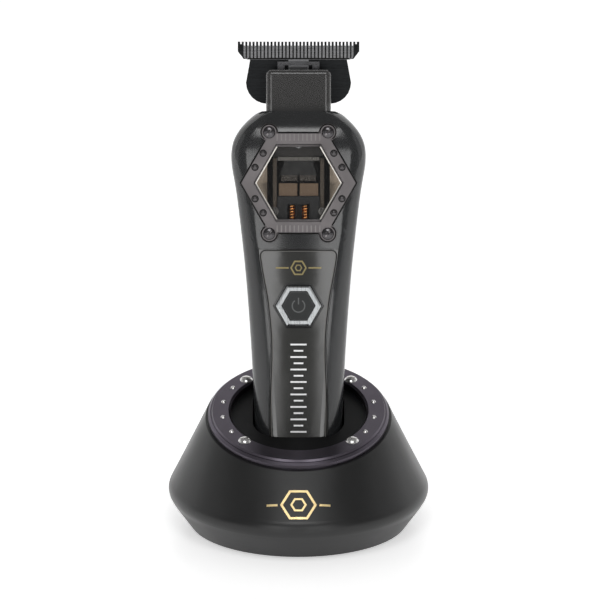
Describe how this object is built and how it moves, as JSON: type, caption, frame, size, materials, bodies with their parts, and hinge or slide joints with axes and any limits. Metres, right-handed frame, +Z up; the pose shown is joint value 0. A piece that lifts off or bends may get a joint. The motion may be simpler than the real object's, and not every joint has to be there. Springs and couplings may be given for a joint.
{
  "type": "cordless hair trimmer with charging stand",
  "caption": "Cordless T-blade hair trimmer with a hexagonal motor window, leaning back in its round charging stand.",
  "frame": {"origin": "centre of the charging stand's resting face", "axes": "+Z up, -Y towards the front, where the power button and the window face, +X to the right as seen from the front"},
  "size_m": [0.0882, 0.0879, 0.1586],
  "materials": {
    "stand_housing": "satin",
    "stand_base": "satin",
    "anti_slip_pad": "matte",
    "ballast_ring": "rough",
    "base_screws": "satin",
    "trim_ring": "satin",
    "ring_screws": "polished",
    "ring_studs": "polished",
    "cradle_cup": "satin",
    "charging_board": "satin",
    "contact_barrels": "polished",
    "inlet_socket": "satin",
    "front_shell": "gloss",
    "rear_shell": "gloss",
    "bottom_cap": "gloss",
    "shell_screws": "satin",
    "control_panel": "gloss",
    "neck_cover": "gloss",
    "window_bezel": "satin",
    "window_lens": "gloss",
    "bezel_screws": "satin",
    "bezel_studs": "satin",
    "motor_frame": "satin",
    "motor_core": "satin",
    "core_screws": "polished",
    "coil_bobbin": "satin",
    "drive_coils": "gloss",
    "pole_shoes": "satin",
    "pivot_pin": "satin",
    "battery_cell": "satin",
    "battery_holder": "satin",
    "circuit_board": "satin",
    "button_switch": "satin",
    "motor_leads": "satin",
    "charge_contacts": "polished",
    "fixed_blade": "satin",
    "blade_mount": "satin",
    "blade_screws": "satin",
    "tension_bar": "satin",
    "tension_screws": "satin",
    "power_button_cap": "gloss",
    "power_button_ring": "satin",
    "armature_yoke": "satin",
    "armature_plate": "satin",
    "armature_magnets": "satin",
    "drive_arm": "satin",
    "pivot_bush": "satin",
    "cutter_blade": "satin",
    "cutter_guide": "satin",
    "contact_pins": "polished"
  },
  "bodies": {
    "stand": {"stand_housing": "stand_housing", "stand_base": "stand_base", "anti_slip_pad": "anti_slip_pad", "ballast_ring": "ballast_ring", "base_screws": "base_screws", "trim_ring": "trim_ring", "ring_screws": "ring_screws", "ring_studs": "ring_studs", "cradle_cup": "cradle_cup", "charging_board": "charging_board", "contact_barrels": "contact_barrels", "inlet_socket": "inlet_socket"},
    "trimmer": {"front_shell": "front_shell", "rear_shell": "rear_shell", "bottom_cap": "bottom_cap", "shell_screws": "shell_screws", "control_panel": "control_panel", "neck_cover": "neck_cover", "window_bezel": "window_bezel", "window_lens": "window_lens", "bezel_screws": "bezel_screws", "bezel_studs": "bezel_studs", "motor_frame": "motor_frame", "motor_core": "motor_core", "core_screws": "core_screws", "coil_bobbin": "coil_bobbin", "drive_coils": "drive_coils", "pole_shoes": "pole_shoes", "pivot_pin": "pivot_pin", "battery_cell": "battery_cell", "battery_holder": "battery_holder", "circuit_board": "circuit_board", "button_switch": "button_switch", "motor_leads": "motor_leads", "charge_contacts": "charge_contacts", "fixed_blade": "fixed_blade", "blade_mount": "blade_mount", "blade_screws": "blade_screws", "tension_bar": "tension_bar", "tension_screws": "tension_screws"},
    "power_button": {"power_button_cap": "power_button_cap", "power_button_ring": "power_button_ring"},
    "armature": {"armature_yoke": "armature_yoke", "armature_plate": "armature_plate", "armature_magnets": "armature_magnets", "drive_arm": "drive_arm", "pivot_bush": "pivot_bush"},
    "cutter": {"cutter_blade": "cutter_blade", "cutter_guide": "cutter_guide"},
    "charge_pins": {"contact_pins": "contact_pins"}
  },
  "joints": [
    {"name": "trimmer_lift", "type": "slide", "parent": "stand", "child": "trimmer", "axis": [0, 0.2419, 0.9703], "range_m": [0, 0.06]},
    {"name": "power_button_press", "type": "slide", "parent": "trimmer", "child": "power_button", "axis": [0, 0.9703, -0.2419], "range_m": [0, 0.0008], "stiffness_N_per_m": 600, "springref_m": -0.002},
    {"name": "armature_swing", "type": "hinge", "parent": "trimmer", "child": "armature", "pos_m": [0, 0.02635, 0.1257], "axis": [0, 0.9703, -0.2419], "range_deg": [-2.6, 2.6], "stiffness_Nm_per_rad": 0.05},
    {"name": "cutter_slide", "type": "slide", "parent": "trimmer", "child": "cutter", "axis": [1, 0, 0], "range_m": [-0.00097, 0.00097]},
    {"name": "contact_pins_press", "type": "slide", "parent": "stand", "child": "charge_pins", "axis": [0, -0.2419, -0.9703], "range_m": [0, 0.0006], "stiffness_N_per_m": 300, "springref_m": -0.001}
  ],
  "couplings": [
    {"joint": "armature_swing", "follows": "cutter_slide", "rad_per_m": 46.729}
  ]
}
